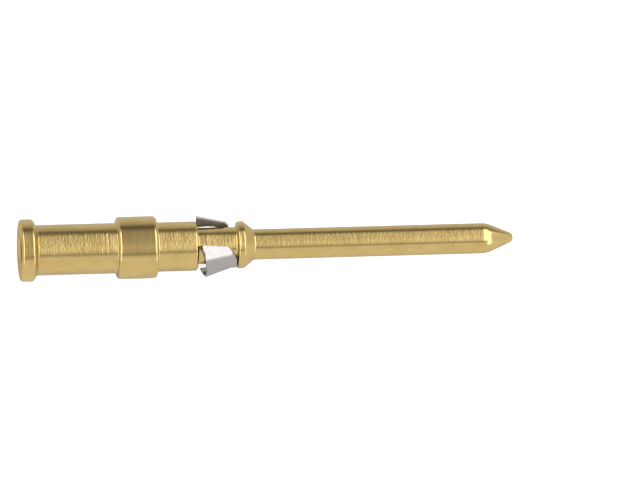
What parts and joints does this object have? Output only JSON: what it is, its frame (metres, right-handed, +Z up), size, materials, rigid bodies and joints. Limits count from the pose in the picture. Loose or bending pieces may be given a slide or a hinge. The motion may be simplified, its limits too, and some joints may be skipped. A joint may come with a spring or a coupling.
{
  "type": "crimp contact pin",
  "caption": "Turned crimp contact with a round mating pin, a hollow crimp barrel, a collar and a loose spring clip in its groove.",
  "frame": {"origin": "middle of the part's box, on the surface it lies on", "axes": "+X from the crimp barrel towards the tip of the pin, which leans 2.8 degrees nose down as it rests; +Z up; the clip's mouth is on top, turned a little to +Y"},
  "size_m": [0.0262, 0.0034, 0.0036],
  "materials": {
    "gold_plating": "gold plate on turned copper alloy",
    "spring_steel": "bright spring steel sheet"
  },
  "bodies": {
    "contact": {"contact_body": "gold_plating"},
    "clip": {"retaining_clip": "spring_steel"}
  },
  "joints": [
    {"name": "clip_turn", "type": "hinge", "parent": "contact", "child": "clip", "pos_m": [-0.00251, 0, 0.00147], "axis": [0.9988, 0, -0.0483], "continuous": true}
  ]
}
